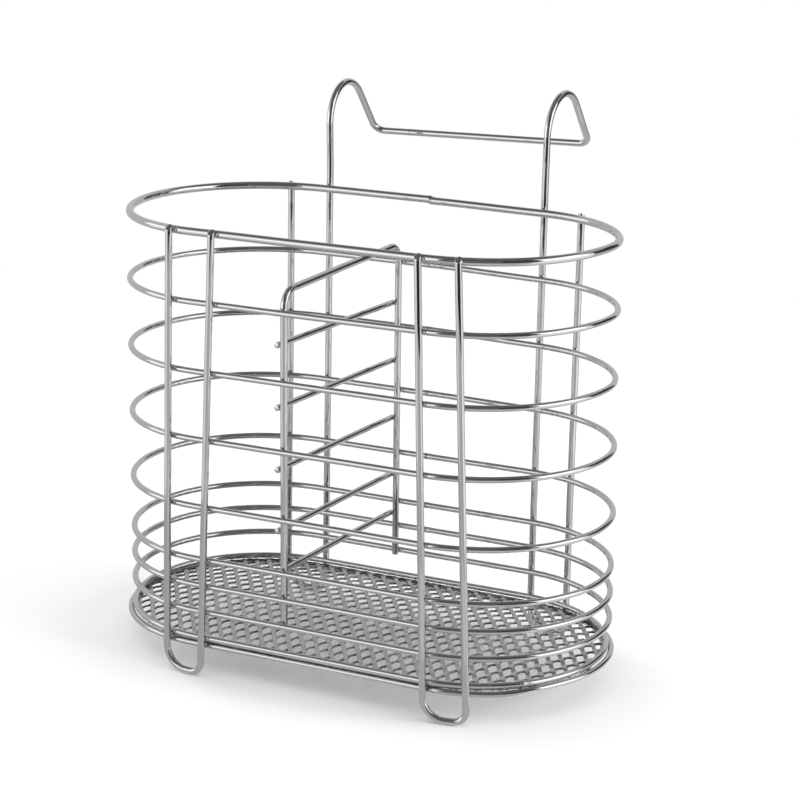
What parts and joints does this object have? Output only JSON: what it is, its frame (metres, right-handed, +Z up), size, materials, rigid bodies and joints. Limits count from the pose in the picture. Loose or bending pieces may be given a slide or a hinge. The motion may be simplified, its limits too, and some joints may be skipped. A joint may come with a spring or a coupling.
{
  "type": "cutlery drainer",
  "caption": "Open wire cutlery drainer with a stadium-shaped basket, an expanded-metal floor, a wire divider, loop feet and rear hooks for hanging on a rail.",
  "frame": {"origin": "on the standing surface, under the middle of the basket's stadium plan", "axes": "+Z up, +Y to the back where the hooks are, +X along the length to the right as seen from the front"},
  "size_m": [0.207, 0.1552, 0.2236],
  "materials": {
    "plated_rim": "bright plated heavy wire",
    "plated_wire": "bright plated round wire",
    "plated_sheet": "plated expanded sheet, satin"
  },
  "bodies": {
    "root": {"rim_ring": "plated_rim", "hoop_1": "plated_wire", "hoop_2": "plated_wire", "hoop_3": "plated_wire", "hoop_4": "plated_wire", "hoop_5": "plated_wire", "hoop_6": "plated_wire", "hoop_7": "plated_wire", "base_ring_upper": "plated_wire", "base_ring_lower": "plated_wire", "mesh_floor": "plated_sheet", "front_left_hairpin": "plated_wire", "front_right_hairpin": "plated_wire", "rear_hanger": "plated_wire", "divider_frame": "plated_wire", "divider_rung_1": "plated_wire", "divider_rung_2": "plated_wire", "divider_rung_3": "plated_wire", "divider_rung_4": "plated_wire", "divider_rung_5": "plated_wire"}
  },
  "joints": []
}
